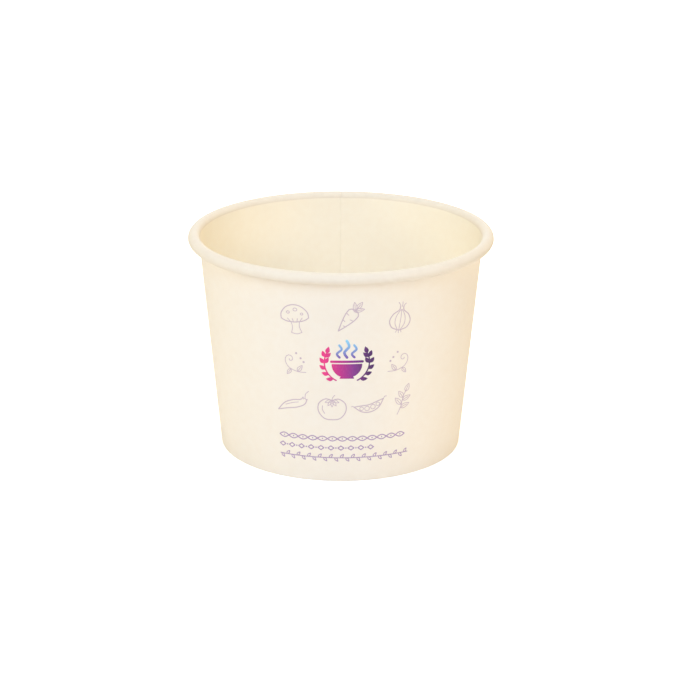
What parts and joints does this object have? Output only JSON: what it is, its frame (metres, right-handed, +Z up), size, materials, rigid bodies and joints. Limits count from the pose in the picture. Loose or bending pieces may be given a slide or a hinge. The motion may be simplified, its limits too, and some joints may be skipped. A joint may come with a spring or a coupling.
{
  "type": "paper soup container",
  "caption": "Round tapered paperboard soup tub, open at the top, with a rolled rim, a lapped side seam and a recessed base disc held in a folded hem.",
  "frame": {"origin": "middle of the ring that the tub stands on, at table level", "axes": "+Z up along the tub's axis, through the open mouth; -Y towards the printed side, with the side seam at +Y"},
  "size_m": [0.098, 0.098, 0.071],
  "materials": {
    "wall_board": "matte",
    "disc_board": "matte"
  },
  "bodies": {
    "root": {"side_wall": "wall_board", "base_disc": "disc_board"}
  },
  "joints": []
}
